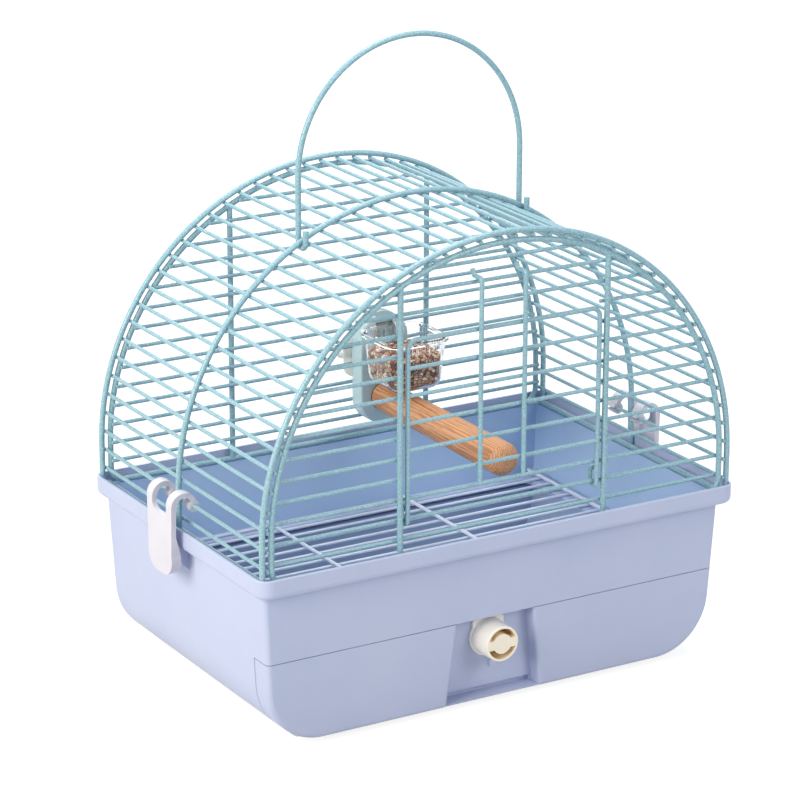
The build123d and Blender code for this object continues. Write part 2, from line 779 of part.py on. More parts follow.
# ---- Perch, its mount and the clamp -------------------------------------------------------
def make_perch_mount():
    """The block that carries the perch and the cup, with a T-slot open at its top."""
    low = rim_top + mount_low_rise
    high = rim_top + mount_high_rise
    with BuildPart() as mount:
        with BuildSketch(Plane.XZ.offset(-mount_back_y)) as outline:
            with Locations((mount_x, (low + high) / 2)):
                Rectangle(mount_width, high - low)
            ends = outline.vertices().group_by(Axis.Y)
            fillet(ends[0], mount_low_radius)
            fillet(ends[-1], mount_high_radius)
        extrude(amount=mount_thickness)
        fillet(mount.faces().sort_by(Axis.Y)[0].edges(), mount_edge)
        slot_low = rim_top + slot_low_rise
        lip_back = mount_front_y + slot_lip
        block((mount_x - slot_width / 2, lip_back, slot_low),
              (mount_x + slot_width / 2, mount_front_y + slot_depth, high), mode=Mode.SUBTRACT)
        block((mount_x - slot_neck / 2, mount_front_y, slot_low),
              (mount_x + slot_neck / 2, lip_back, high), mode=Mode.SUBTRACT)
        perch_height = rim_top + perch_rise
        rod((perch_x, mount_front_y, perch_height), (perch_x, mount_front_y + perch_socket, perch_height),
            perch_diameter + 2 * perch_gap, mode=Mode.SUBTRACT)
        rod((mount_x, mount_front_y, stud_height), (mount_x, mount_front_y + stud_head_height, stud_height),
            stud_head_diameter, mode=Mode.SUBTRACT)
        rod((mount_x, mount_front_y, stud_height), (mount_x, mount_back_y, stud_height), stud_diameter,
            mode=Mode.SUBTRACT)
    return mount.part


def make_perch():
    """The round wooden perch, seated in the mount's socket, with a rounded free end."""
    seat_y = mount_front_y + perch_socket
    with BuildPart() as perch:
        for place, diameter in ((seat_y, perch_diameter), (seat_y - perch_length, perch_end_diameter)):
            with BuildSketch(Plane.XZ.offset(-place)):
                with Locations((perch_x, rim_top + perch_rise)):
                    Circle(diameter / 2)
        loft()
        fillet(perch.faces().sort_by(Axis.Y)[0].edges(), perch_dome)
    return perch.part


def make_clamp_stud():
    """The stud that draws the clamp plate up to the mount through the panel."""
    head_y = mount_front_y + stud_head_height
    end_y = plate_back_y + nut_face_gap + nut_hub_length + stud_overrun
    with BuildPart() as stud:
        rod((mount_x, mount_front_y, stud_height), (mount_x, head_y, stud_height), stud_head_diameter)
        rod((mount_x, head_y, stud_height), (mount_x, end_y, stud_height), stud_diameter)
        chamfer(stud.faces().sort_by(Axis.Y)[-1].edges(), 0.6)
    return stud.part


def make_clamp_plate():
    """The plate behind the panel's bars."""
    with BuildPart() as plate:
        with BuildSketch(Plane.XZ.offset(-plate_back_y)):
            with Locations((mount_x, stud_height)):
                RectangleRounded(clamp_plate_width, clamp_plate_height, clamp_plate_corner)
                Circle(stud_diameter / 2, mode=Mode.SUBTRACT)
        extrude(amount=clamp_plate_thickness)
        fillet(plate.faces().sort_by(Axis.Y)[-1].outer_wire().edges(), 1)
    return plate.part


def make_wing_nut():
    """The moulded wing nut that turns on the stud."""
    low_y = plate_back_y + nut_face_gap
    high_y = low_y + nut_hub_length
    with BuildPart() as nut:
        with BuildSketch(Plane.XY.offset(stud_height - nut_wing_thickness / 2)):
            with Locations((mount_x, low_y + 1 + nut_wing_height / 2)):
                SlotOverall(nut_span, nut_wing_height)
        extrude(amount=nut_wing_thickness)
        fillet(nut.faces().filter_by(Axis.Z).edges(), 1)
        rod((mount_x, low_y, stud_height), (mount_x, high_y, stud_height), nut_hub_diameter)
        rod((mount_x, high_y, stud_height), (mount_x, high_y + nut_span, stud_height), nut_hub_diameter,
            mode=Mode.SUBTRACT)
        rod((mount_x, low_y - 1, stud_height), (mount_x, high_y + 1, stud_height),
            stud_diameter + 2 * nut_bore_gap, mode=Mode.SUBTRACT)
    return nut.part


# ---- Feeder cup ---------------------------------------------------------------------------
cup_low = rim_top + cup_low_rise
cup_high = rim_top + cup_high_rise
cup_y = cup_back_y - cup_flange - cup_depth / 2


def cup_form(inset, low, high):
    """The tapering body of the cup, moved inwards, between two heights."""
    with BuildPart() as form:
        for height in (low, high):
            part_way = (height - cup_low) / (cup_high - cup_low)
            width = cup_foot_width + part_way * (cup_width - cup_foot_width) - 2 * inset
            depth = cup_foot_depth + part_way * (cup_depth - cup_foot_depth) - 2 * inset
            with BuildSketch(Plane.XY.offset(height)):
                with Locations((mount_x, cup_y)):
                    RectangleRounded(width, depth, cup_corner - inset)
        loft()
        fillet(form.faces().sort_by(Axis.Z)[0].edges(), cup_foot_radius - inset)
    return form.part


def make_feeder_cup():
    """The clear cup: tapered walls, a flanged and ribbed rim, and the tab that hangs it."""
    flange_low = cup_high - cup_flange_height
    tab_low = rim_top + slot_low_rise + tab_gap
    tab_front = mount_front_y + slot_lip + tab_gap
    tab_back = mount_front_y + slot_depth - tab_gap
    tab_half = slot_width / 2 - tab_gap
    neck_half = slot_neck / 2 - tab_gap
    inner_back = cup_y + cup_depth / 2 - cup_wall
    with BuildPart() as cup:
        add(cup_form(0, cup_low, cup_high))
        with BuildSketch(Plane.XY.offset(flange_low)):
            with Locations((mount_x, cup_y)):
                RectangleRounded(cup_width + 2 * cup_flange, cup_depth + 2 * cup_flange, cup_corner + cup_flange)
        extrude(amount=cup_flange_height)
        block((mount_x - neck_half, inner_back, tab_low), (mount_x + neck_half, tab_front, cup_high))
        block((mount_x - tab_half, tab_front, tab_low), (mount_x + tab_half, tab_back, cup_high))
        add(cup_form(cup_wall, cup_low + cup_wall, cup_high + cup_wall), mode=Mode.SUBTRACT)
        rib_middle = flange_low - cup_rib_height / 2
        rib_count = int((cup_width - 2 * cup_corner) / cup_rib_pitch)
        for turn in (0, 90, 180):
            reach = cup_width / 2 - cup_rib
            with Locations(Location((mount_x, cup_y, rib_middle), (0, 0, turn))):
                with Locations((0, -reach, 0)):
                    with GridLocations(cup_rib_pitch, 0, rib_count, 1):
                        Box(cup_rib, 2 * cup_rib, cup_rib_height)
    return cup.part


def make_seed_mix():
    """The fill of seed, lying a hair inside the cup's walls."""
    with BuildPart() as seed:
        add(cup_form(cup_wall + seed_gap, cup_low + cup_wall + seed_gap, rim_top + seed_top_rise))
        fillet(seed.faces().sort_by(Axis.Z)[-1].edges(), seed_edge)
    return seed.part


# ---- Build and export ---------------------------------------------------------------------
os.makedirs("parts", exist_ok=True)
front_frame = make_panel_frame(front_frame_y)
back_frame = make_panel_frame(back_frame_y)
door_frame = make_door_frame()
clip_right = make_clip()

save(make_tub(), "tub")
save(make_drawer(), "drawer")
save(make_latch_knob(), "latch_knob")
save(make_grate_rods(), "grate_rods")
save(make_grate_cross_rods(), "grate_cross_rods")
save(make_arch(front_frame_y), "front_arch")
save(make_arch(0), "middle_arch")
save(make_arch(back_frame_y), "back_arch")
save(make_roof_wires(), "roof_wires")
save(make_sill_wire(-1), "sill_wire_left")
save(make_sill_wire(1), "sill_wire_right")
save(front_frame, "front_panel_frame")
save(make_bars([front_bar_height(level) for level in lower_bars], front_bars_y), "front_bars_lower")
save(make_bars([front_bar_height(level) for level in upper_bars], front_bars_y), "front_bars_upper")
save(make_stub_bars(-1), "front_side_bars_left")
save(make_stub_bars(1), "front_side_bars_right")
save(make_post(-post_x, front_frame_y, front_frame), "door_post_left")
save(make_post(post_x, front_frame_y, front_frame), "door_post_right")
save(back_frame, "back_panel_frame")
save(make_bars([rim_top + back_rise + row * back_pitch for row in range(back_bar_count)], back_bars_y),
     "back_bars")
save(make_post(-post_x, back_frame_y, back_frame), "back_post_left")
save(make_post(post_x, back_frame_y, back_frame), "back_post_right")
save(door_frame, "door_frame")
save(make_door_bars(door_frame), "door_bars")
save(make_door_stays(), "door_stays")
save(make_carry_handle(), "carry_handle")
save(clip_right, "clip_right")
save(mirror(clip_right, about=Plane.YZ), "clip_left")
save(make_perch_mount(), "perch_mount")
save(make_perch(), "perch")
save(make_clamp_stud(), "clamp_stud")
save(make_clamp_plate(), "clamp_plate")
save(make_wing_nut(), "wing_nut")
save(make_feeder_cup(), "feeder_cup")
save(make_seed_mix(), "seed_mix")
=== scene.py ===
"""Finish, seed, light and camera for the bird travel carrier. Metres, in the part's own frame."""

import json
import math
import random

import bmesh
import bpy
from mathutils import Matrix, Vector


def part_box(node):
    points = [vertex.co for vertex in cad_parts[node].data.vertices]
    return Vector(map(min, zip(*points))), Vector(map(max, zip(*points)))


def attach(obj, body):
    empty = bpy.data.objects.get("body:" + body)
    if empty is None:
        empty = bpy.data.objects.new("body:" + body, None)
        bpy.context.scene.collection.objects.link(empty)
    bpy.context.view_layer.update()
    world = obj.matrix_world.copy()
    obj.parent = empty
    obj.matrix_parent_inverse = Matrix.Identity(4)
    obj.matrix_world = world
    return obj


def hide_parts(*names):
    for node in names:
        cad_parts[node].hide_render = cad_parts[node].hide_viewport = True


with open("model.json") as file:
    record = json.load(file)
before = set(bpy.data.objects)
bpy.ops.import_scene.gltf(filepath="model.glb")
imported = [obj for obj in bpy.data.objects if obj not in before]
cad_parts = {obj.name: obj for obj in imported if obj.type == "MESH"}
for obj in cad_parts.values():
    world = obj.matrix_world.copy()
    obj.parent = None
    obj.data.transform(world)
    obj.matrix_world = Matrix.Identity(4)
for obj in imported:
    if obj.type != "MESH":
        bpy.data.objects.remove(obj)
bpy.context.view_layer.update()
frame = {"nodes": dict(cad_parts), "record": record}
nodes = frame["nodes"]


# ---- Colours ------------------------------------------------------------------------------
def srgb(red, green, blue):
    """A colour written as 0 to 255 values, as the linear one that a shader takes."""
    linear = []
    for value in (red, green, blue):
        part = value / 255
        linear.append(part / 12.92 if part <= 0.04045 else ((part + 0.055) / 1.055) ** 2.4)
    return (*linear, 1.0)


# ---- Shader helpers -----------------------------------------------------------------------
# A Mix node's colour sockets, by their places in its lists of sockets
mix_first = 6
mix_second = 7
mix_result = 2


def add_node(tree, kind, **settings):
    """A new shader node with its settings."""
    node = tree.nodes.new(kind)
    for name, value in settings.items():
        setattr(node, name, value)
    return node


def start_material(name, roughness):
    """A new Principled material, returned with its tree and shader."""
    material = bpy.data.materials.new(name)
    material.use_nodes = True
    tree = material.node_tree
    shader = tree.nodes["Principled BSDF"]
    shader.inputs["Roughness"].default_value = roughness
    return material, tree, shader


def object_coordinates(tree, scale=(1, 1, 1)):
    """Object coordinates, multiplied by a scale for each axis."""
    place = add_node(tree, "ShaderNodeTexCoord")
    mapping = add_node(tree, "ShaderNodeMapping")
    mapping.inputs["Scale"].default_value = scale
    tree.links.new(place.outputs["Object"], mapping.inputs["Vector"])
    return mapping.outputs["Vector"]


def object_axes(tree):
    """Object coordinates as three values, under the names X, Y and Z."""
    axes = add_node(tree, "ShaderNodeSeparateXYZ")
    tree.links.new(object_coordinates(tree), axes.inputs["Vector"])
    return axes.outputs


def add_math(tree, operation, first, second=0):
    """A Math node on one or two values, each a socket or a number."""
    node = add_node(tree, "ShaderNodeMath", operation=operation)
    for socket, value in zip(node.inputs, (first, second)):
        if isinstance(value, (int, float)):
            socket.default_value = value
        else:
            tree.links.new(value, socket)
    return node.outputs["Value"]


def add_product(tree, first, *others):
    """Several masks multiplied into one."""
    product = first
    for mask in others:
        product = add_math(tree, "MULTIPLY", product, mask)
    return product


def add_noise(tree, vector, scale, detail=3.0, roughness=0.6):
    """A noise on a vector, as its value."""
    noise = add_node(tree, "ShaderNodeTexNoise")
    noise.inputs["Scale"].default_value = scale
    noise.inputs["Detail"].default_value = detail
    noise.inputs["Roughness"].default_value = roughness
    tree.links.new(vector, noise.inputs["Vector"])
    return noise.outputs["Fac"]


def add_step(tree, value, start, end):
    """0 before the start and 1 past the end, smooth between. The end may be the lower of the two."""
    step = add_node(tree, "ShaderNodeMapRange", interpolation_type="SMOOTHSTEP")
    step.inputs["From Min"].default_value = start
    step.inputs["From Max"].default_value = end
    tree.links.new(value, step.inputs["Value"])
    return step.outputs["Result"]


def add_blend(tree, mask, first, second):
    """Two colours, each a socket or a colour, blended by a mask."""
    blend = add_node(tree, "ShaderNodeMix", data_type="RGBA")
    tree.links.new(mask, blend.inputs["Factor"])
    for index, value in ((mix_first, first), (mix_second, second)):
        if isinstance(value, tuple):
            blend.inputs[index].default_value = value
        else:
            tree.links.new(value, blend.inputs[index])
    return blend.outputs[mix_result]


def add_bump(tree, shader, height, strength, distance=0.0002):
    """Bump on a shader's normal."""
    relief = add_node(tree, "ShaderNodeBump")
    relief.inputs["Strength"].default_value = strength
    relief.inputs["Distance"].default_value = distance
    tree.links.new(height, relief.inputs["Height"])
    tree.links.new(relief.outputs["Normal"], shader.inputs["Normal"])


# ---- Mottled finishes ---------------------------------------------------------------------
def make_mottle_group():
    """The shared finish group: one colour broken up by two noises, with a height for bump."""
    group = bpy.data.node_groups.new("mottled_finish", "ShaderNodeTree")
    face = group.interface
    face.new_socket("Position", in_out="INPUT", socket_type="NodeSocketVector")
    for name in ("Light Colour", "Dark Colour"):
        face.new_socket(name, in_out="INPUT", socket_type="NodeSocketColor")
    for name in ("Patch Scale", "Grain Scale", "Patch Low", "Patch High"):
        face.new_socket(name, in_out="INPUT", socket_type="NodeSocketFloat")
    face.new_socket("Colour", in_out="OUTPUT", socket_type="NodeSocketColor")
    face.new_socket("Height", in_out="OUTPUT", socket_type="NodeSocketFloat")
    source = add_node(group, "NodeGroupInput")
    result = add_node(group, "NodeGroupOutput")
    patches = add_node(group, "ShaderNodeTexNoise")
    patches.inputs["Detail"].default_value = 5.0
    patches.inputs["Roughness"].default_value = 0.6
    grain = add_node(group, "ShaderNodeTexNoise")
    grain.inputs["Detail"].default_value = 3.0
    spread = add_node(group, "ShaderNodeMapRange")
    blend = add_node(group, "ShaderNodeMix", data_type="RGBA")
    links = group.links
    for noise, scale in ((patches, "Patch Scale"), (grain, "Grain Scale")):
        links.new(source.outputs["Position"], noise.inputs["Vector"])
        links.new(source.outputs[scale], noise.inputs["Scale"])
    links.new(patches.outputs["Fac"], spread.inputs["Value"])
    links.new(source.outputs["Patch Low"], spread.inputs["From Min"])
    links.new(source.outputs["Patch High"], spread.inputs["From Max"])
    links.new(spread.outputs["Result"], blend.inputs["Factor"])
    links.new(source.outputs["Dark Colour"], blend.inputs[mix_first])
    links.new(source.outputs["Light Colour"], blend.inputs[mix_second])
    links.new(blend.outputs[mix_result], result.inputs["Colour"])
    links.new(grain.outputs["Fac"], result.inputs["Height"])
    return group


mottle_group = make_mottle_group()


def mottled_material(name, light, dark, patch_scale, grain_scale, roughness, bump, spread=(0.3, 0.7)):
    """A coated or moulded finish made with the shared group."""
    material, tree, shader = start_material(name, roughness)
    group = add_node(tree, "ShaderNodeGroup", node_tree=mottle_group)
    group.inputs["Light Colour"].default_value = light
    group.inputs["Dark Colour"].default_value = dark
    group.inputs["Patch Scale"].default_value = patch_scale
    group.inputs["Grain Scale"].default_value = grain_scale
    group.inputs["Patch Low"].default_value = spread[0]
    group.inputs["Patch High"].default_value = spread[1]
    tree.links.new(object_coordinates(tree), group.inputs["Position"])
    tree.links.new(group.outputs["Colour"], shader.inputs["Base Color"])
    add_bump(tree, shader, group.outputs["Height"], bump)
    return material


def tint_where(material, make_mask, tone):
    """Another tone on a material wherever a mask, made from object coordinates, is 1."""
    tree = material.node_tree
    colour = tree.nodes["Principled BSDF"].inputs["Base Color"]
    plain = colour.links[0].from_socket
    mask = make_mask(tree, object_axes(tree))
    tree.links.new(add_blend(tree, mask, plain, tone), colour)


coated_wire = mottled_material(
    "turquoise_powder_coat", srgb(163, 198, 209), srgb(120, 163, 180),
    patch_scale=900, grain_scale=1600, roughness=0.28, bump=0.6, spread=(0.35, 0.7))
white_plastic = mottled_material(
    "white_moulded_plastic", srgb(211, 209, 221), srgb(204, 202, 215),
    patch_scale=60, grain_scale=1200, roughness=0.36, bump=0.08)
white_wire = mottled_material(
    "white_coated_wire", srgb(218, 226, 241), srgb(204, 214, 234),
    patch_scale=180, grain_scale=1200, roughness=0.35, bump=0.3)
mount_plastic = mottled_material(
    "pale_teal_plastic", srgb(188, 213, 220), srgb(178, 205, 213),
    patch_scale=40, grain_scale=1200, roughness=0.4, bump=0.08)
stud_steel = mottled_material(
    "stud_steel", srgb(196, 198, 200), srgb(170, 172, 175),
    patch_scale=300, grain_scale=900, roughness=0.3, bump=0.1)
stud_steel.node_tree.nodes["Principled BSDF"].inputs["Metallic"].default_value = 1.0


def make_frosted_plastic():
    """The clamp's pale plastic, which lets some light through."""
    material = mottled_material(
        "frosted_clamp_plastic", srgb(240, 241, 238), srgb(232, 234, 231),
        patch_scale=60, grain_scale=1200, roughness=0.35, bump=0.05)
    shader = material.node_tree.nodes["Principled BSDF"]
    shader.inputs["Transmission Weight"].default_value = 0.55
    shader.inputs["IOR"].default_value = 1.2
    return material


frosted_plastic = make_frosted_plastic()

# ---- Base and drawer: lavender plastic, painted bluer bounce and shade inside -------------
# The base's walls lean outwards, so their places are given at the ground
side_wall_half_width = 0.15472
side_wall_lean = 0.056
front_wall_y = -0.0972
back_wall_y = 0.1021
end_wall_lean = 0.026
wall_fade = 0.0002
grate_top = (0.0590, 0.0620)
ledge = (0.1135, 0.1090)
drawer_front_back = (-0.0860, -0.0840)


def lavender_plastic(name):
    """The base's and the drawer's moulded plastic."""
    return mottled_material(
        name, srgb(186, 194, 223), srgb(180, 189, 220),
        patch_scale=18, grain_scale=900, roughness=0.42, bump=0.08)


def painted_bounce_inside_base(tree, place):
    """1 on the base's inner walls, from the grate up to the ledge, where a bluer tone paints blue bounce
    light.
    """
    side_lean = add_math(tree, "MULTIPLY", place["Z"], side_wall_lean)
    end_lean = add_math(tree, "MULTIPLY", place["Z"], end_wall_lean)
    sideways = add_math(tree, "SUBTRACT", add_math(tree, "ABSOLUTE", place["X"]), side_lean)
    from_front = add_math(tree, "ADD", place["Y"], end_lean)
    from_back = add_math(tree, "SUBTRACT", place["Y"], end_lean)
    return add_product(
        tree,
        add_step(tree, sideways, side_wall_half_width + wall_fade, side_wall_half_width - wall_fade),
        add_step(tree, from_front, front_wall_y - wall_fade, front_wall_y + wall_fade),
        add_step(tree, from_back, back_wall_y + wall_fade, back_wall_y - wall_fade),
        add_step(tree, place["Z"], *grate_top),
        add_step(tree, place["Z"], *ledge),
    )


def painted_shade_in_tray(tree, place):
    """1 on the drawer's tray, where a darker, bluer tone paints shade, 0 on its front."""
    return add_step(tree, place["Y"], *drawer_front_back)


base_plastic = lavender_plastic("lavender_moulded_plastic")
drawer_plastic = lavender_plastic("lavender_drawer_plastic")
# Painted bounce light: the base's inner walls get a bluer tone than its outside.
tint_where(base_plastic, painted_bounce_inside_base, srgb(174, 200, 234))
# Painted shade: the drawer's tray gets a darker, bluer tone than its front.
tint_where(drawer_plastic, painted_shade_in_tray, srgb(166, 184, 212))

# ---- Latch knob: cream plastic, painted warm shade down in its hollow ---------------------
knob_centre_x = -0.0012
knob_centre_z = 0.0416
knob_inner_wall = (0.0109, 0.0106)
knob_depth = (-0.1098, -0.1040)


def knob_hollow_painted_shade(tree, place):
    """1 at the bottom of the hollow inside the knob's round wall, where a tan tone paints warm shade."""
    side = add_math(tree, "SUBTRACT", place["X"], knob_centre_x)
    rise = add_math(tree, "SUBTRACT", place["Z"], knob_centre_z)
    squares = [add_math(tree, "MULTIPLY", value, value) for value in (side, rise)]
    reach = add_math(tree, "SQRT", add_math(tree, "ADD", *squares))
    return add_product(
        tree,
        add_step(tree, reach, *knob_inner_wall),
        add_step(tree, place["Y"], *knob_depth),
    )


cream_plastic = mottled_material(
    "cream_moulded_plastic", srgb(249, 246, 241), srgb(243, 238, 230),
    patch_scale=50, grain_scale=1200, roughness=0.4, bump=0.08)
# Painted shade: the bottom of the knob's hollow gets a warm tan tone.
tint_where(cream_plastic, knob_hollow_painted_shade, srgb(250, 226, 184))

# ---- Perch: bare turned wood --------------------------------------------------------------
grain_along_perch = (1, 0.035, 1)
ring_frequency = 5200
ring_tilt = -0.2
ring_sway = 0.0013
ring_edge = (0.1, 0.9)
ring_darkness = 0.6
pore_edge = (0.52, 0.64)
pore_darkness = 0.85
perch_socket_shadow_span = (0.0876, 0.0881)


def make_perch_wood():
    """Growth rings as steep sheets along the perch, fine pores, and a painted shadow where the mount's
    socket grips it.
    """
    material, tree, shader = start_material("turned_perch_wood", roughness=0.6)
    along = object_coordinates(tree, grain_along_perch)
    place = object_axes(tree)
    sway = add_math(tree, "MULTIPLY", add_noise(tree, along, scale=260), ring_sway)
    across = add_math(tree, "ADD", place["X"], add_math(tree, "MULTIPLY", place["Z"], ring_tilt))
    turns = add_math(tree, "MULTIPLY", add_math(tree, "ADD", across, sway), ring_frequency)
    rings = add_step(tree, add_math(tree, "SINE", turns), *ring_edge)
    late_wood = add_math(tree, "MULTIPLY", rings, ring_darkness)
    fibres = add_noise(tree, along, scale=780, roughness=0.75)
    pores = add_math(tree, "MULTIPLY", add_step(tree, fibres, *pore_edge), pore_darkness)
    dark = add_math(tree, "MAXIMUM", late_wood, pores)
    tone = add_blend(tree, add_noise(tree, along, scale=180), srgb(198, 140, 100), srgb(232, 178, 134))
    streaked = add_blend(tree, dark, tone, srgb(148, 92, 60))
    # Painted shadow: the perch turns dark brown where it goes into the mount's socket.
    socket_shadow = add_step(tree, place["Y"], *perch_socket_shadow_span)
    tree.links.new(add_blend(tree, socket_shadow, streaked, srgb(66, 40, 28)), shader.inputs["Base Color"])
    add_bump(tree, shader, pores, strength=0.4)
    return material


perch_wood = make_perch_wood()

# ---- Cup and seed -------------------------------------------------------------------------
seed_scale = 340
seed_squash = (1, 1, 1.35)
seed_gap_shade_edge = (0.02, 0.14)
seed_tones = (
    srgb(150, 78, 44),
    srgb(194, 130, 84),
    srgb(230, 198, 154),
    srgb(104, 54, 40),
    srgb(210, 164, 120),
    srgb(120, 66, 60),
    srgb(246, 232, 210),
    srgb(168, 94, 56),
)
grain_dark_share = 0.7


def make_clear_plastic():
    """The cup's clear moulded plastic, faintly rippled."""
    material, tree, shader = start_material("clear_cup_plastic", roughness=0.07)
    shader.inputs["Base Color"].default_value = (0.97, 0.98, 0.99, 1)
    shader.inputs["Transmission Weight"].default_value = 0.985
    shader.inputs["IOR"].default_value = 1.35
    ripple = add_noise(tree, object_coordinates(tree), scale=120, detail=2.0, roughness=0.5)
    add_bump(tree, shader, ripple, strength=0.2, distance=0.0003)
    return material


def add_cells(tree, place, feature):
    """Cells the size of a seed, as the outputs of their pattern."""
    cells = add_node(tree, "ShaderNodeTexVoronoi", feature=feature)
    cells.inputs["Scale"].default_value = seed_scale
    tree.links.new(place, cells.inputs["Vector"])
    return cells.outputs


def add_seed_tone(tree, value):
    """One of the seed's tones, picked by a value from 0 to 1."""
    tones = add_node(tree, "ShaderNodeValToRGB")
    ramp = tones.color_ramp
    ramp.interpolation = "CONSTANT"
    for index, tone in enumerate(seed_tones):
        stop = ramp.elements[index] if index < 2 else ramp.elements.new(0.5)
        stop.position = index / len(seed_tones)
        stop.color = tone
    tree.links.new(value, tones.inputs["Fac"])
    return tones.outputs["Color"]


def make_seed_bed():
    """Small seed, one tone to each grain, with painted shade in the gaps between the grains."""
    material, tree, shader = start_material("small_seed_mix", roughness=0.55)
    place = object_coordinates(tree, seed_squash)
    pick = add_node(tree, "ShaderNodeSeparateXYZ")
    tree.links.new(add_cells(tree, place, "F1")["Color"], pick.inputs["Vector"])
    tone = add_seed_tone(tree, pick.outputs["X"])
    # Painted shade: the gaps between the grains are a dark brown.
    gap_distance = add_cells(tree, place, "DISTANCE_TO_EDGE")["Distance"]
    body = add_step(tree, gap_distance, *seed_gap_shade_edge)
    tree.links.new(add_blend(tree, body, srgb(58, 34, 26), tone), shader.inputs["Base Color"])
    add_bump(tree, shader, body, strength=0.8, distance=0.0006)
    return material


def grain_material(index, tone):
    """A loose grain in one of the seed's tones."""
    dark = tuple(part * grain_dark_share for part in tone[:3]) + (1,)
    return mottled_material(
        f"loose_grain_{index}", tone, dark,
        patch_scale=500, grain_scale=1500, roughness=0.45, bump=0.4)


clear_plastic = make_clear_plastic()
seed_bed = make_seed_bed()
grain_finishes = [grain_material(index, tone) for index, tone in enumerate(seed_tones)]

# ---- Finishes on the nodes ----------------------------------------------------------------
slot_finishes = {
    "base_plastic": base_plastic,
    "coated_wire": coated_wire,
    "white_plastic": white_plastic,
    "cream_plastic": cream_plastic,
    "white_wire": white_wire,
    "mount_plastic": mount_plastic,
    "perch_wood": perch_wood,
    "stud_steel": stud_steel,
    "clear_plastic": clear_plastic,
    "seed": seed_bed,
}
node_finishes = {
    "drawer": drawer_plastic,
    "clamp_plate": frosted_plastic,
    "wing_nut": frosted_plastic,
}
for subpart in frame["record"]["subparts"]:
    slot_finish = slot_finishes[subpart["material_slot"]]
    for material_slot in nodes[subpart["node"]].material_slots:
        material_slot.material = node_finishes.get(subpart["node"], slot_finish)


# ---- Making pieces ------------------------------------------------------------------------
def link_piece(form, name, *materials):
    """A bmesh made into an object at the origin, with its faces turned outwards."""
    bmesh.ops.recalc_face_normals(form, faces=form.faces)
    mesh = bpy.data.meshes.new(name)
    form.to_mesh(mesh)
    form.free()
    for material in materials:
        mesh.materials.append(material)
    piece = bpy.data.objects.new(name, mesh)
    bpy.context.scene.collection.objects.link(piece)
    return piece


def rounded_outline(left, right, low, high, low_radius, high_radius, steps=14):
    """Points round a rectangle whose bottom and top corners have their own radii."""
    corners = (
        (right - high_radius, high - high_radius, high_radius, 0),
        (left + high_radius, high - high_radius, high_radius, 90),
        (left + low_radius, low + low_radius, low_radius, 180),
        (right - low_radius, low + low_radius, low_radius, 270),
    )
    points = []
    for middle_x, middle_z, radius, start in corners:
        for step in range(steps + 1):
            angle = math.radians(start + 90 * step / steps)
            points.append((middle_x + radius * math.cos(angle), middle_z + radius * math.sin(angle)))
    return points


def cut_away(piece, cutter):
    """Take one closed form out of another, and drop the cutter."""
    modifier = piece.modifiers.new("cut", "BOOLEAN")
    modifier.operation = "DIFFERENCE"
    modifier.solver = "EXACT"
    modifier.object = cutter
    bpy.context.view_layer.update()
    evaluated = piece.evaluated_get(bpy.context.evaluated_depsgraph_get())
    cut_mesh = bpy.data.meshes.new_from_object(evaluated)
    piece.modifiers.clear()
    whole = piece.data
    piece.data = cut_mesh
    bpy.data.meshes.remove(whole)
    cutter_mesh = cutter.data
    bpy.data.objects.remove(cutter)
    bpy.data.meshes.remove(cutter_mesh)


def box_cutter(low, high):
    """A closed box between two corners."""
    form = bmesh.new()
    size = Vector(high) - Vector(low)
    place = (Vector(high) + Vector(low)) / 2
    bmesh.ops.create_cube(form, size=1, matrix=Matrix.Translation(place) @ Matrix.Diagonal((*size, 1)))
    return link_piece(form, "cutter")


def round_cutter(side, rise, radius, front, back):
    """A closed round form along Y."""
    form = bmesh.new()
    place = Matrix.Translation((side, (front + back) / 2, rise)) @ Matrix.Rotation(math.radians(90), 4, "X")
    bmesh.ops.create_cone(form, cap_ends=True, segments=48, radius1=radius, radius2=radius,
                          depth=back - front, matrix=place)
    return link_piece(form, "cutter")


# ---- Perch mount with a rounded top -------------------------------------------------------
mount_low_radius = 0.016
mount_high_radius = 0.017
mount_front_edge = 0.0012
slot_foot = 0.055
slot_half_width = 0.0103
slot_front = 0.0018
slot_back = 0.0046
slot_mouth_half_width = 0.0068
slot_mouth_back = 0.0019
perch_rise = 0.018
perch_side = -0.0005
socket_radius = 0.00975
socket_depth = 0.002
stud_rise = 0.043
stud_head_radius = 0.006
stud_head_depth = 0.0025
stud_hole_radius = 0.003
cut_spare = 0.005
same_point = 0.000001
same_face = 0.00001


def mount_block(low, high):
    """The mount's block: rounded at both ends, with a soft edge round its front."""
    front, back = low[1], high[1]
    outline = rounded_outline(low[0], high[0], low[2], high[2], mount_low_radius, mount_high_radius)
    form = bmesh.new()
    face = form.faces.new([form.verts.new((side, back, rise)) for side, rise in outline])
    pushed = bmesh.ops.extrude_face_region(form, geom=[face])["geom"]
    front_points = [item for item in pushed if isinstance(item, bmesh.types.BMVert)]
    bmesh.ops.translate(form, vec=(0, front - back, 0), verts=front_points)
    bmesh.ops.remove_doubles(form, verts=form.verts, dist=same_point)
    rim = [edge for edge in form.edges if all(abs(point.co.y - front) < same_face for point in edge.verts)]
    bmesh.ops.bevel(form, geom=rim, offset=mount_front_edge, segments=4, profile=0.5,
                    affect="EDGES", material=-1)
    return link_piece(form, "rounded_perch_mount", mount_plastic)


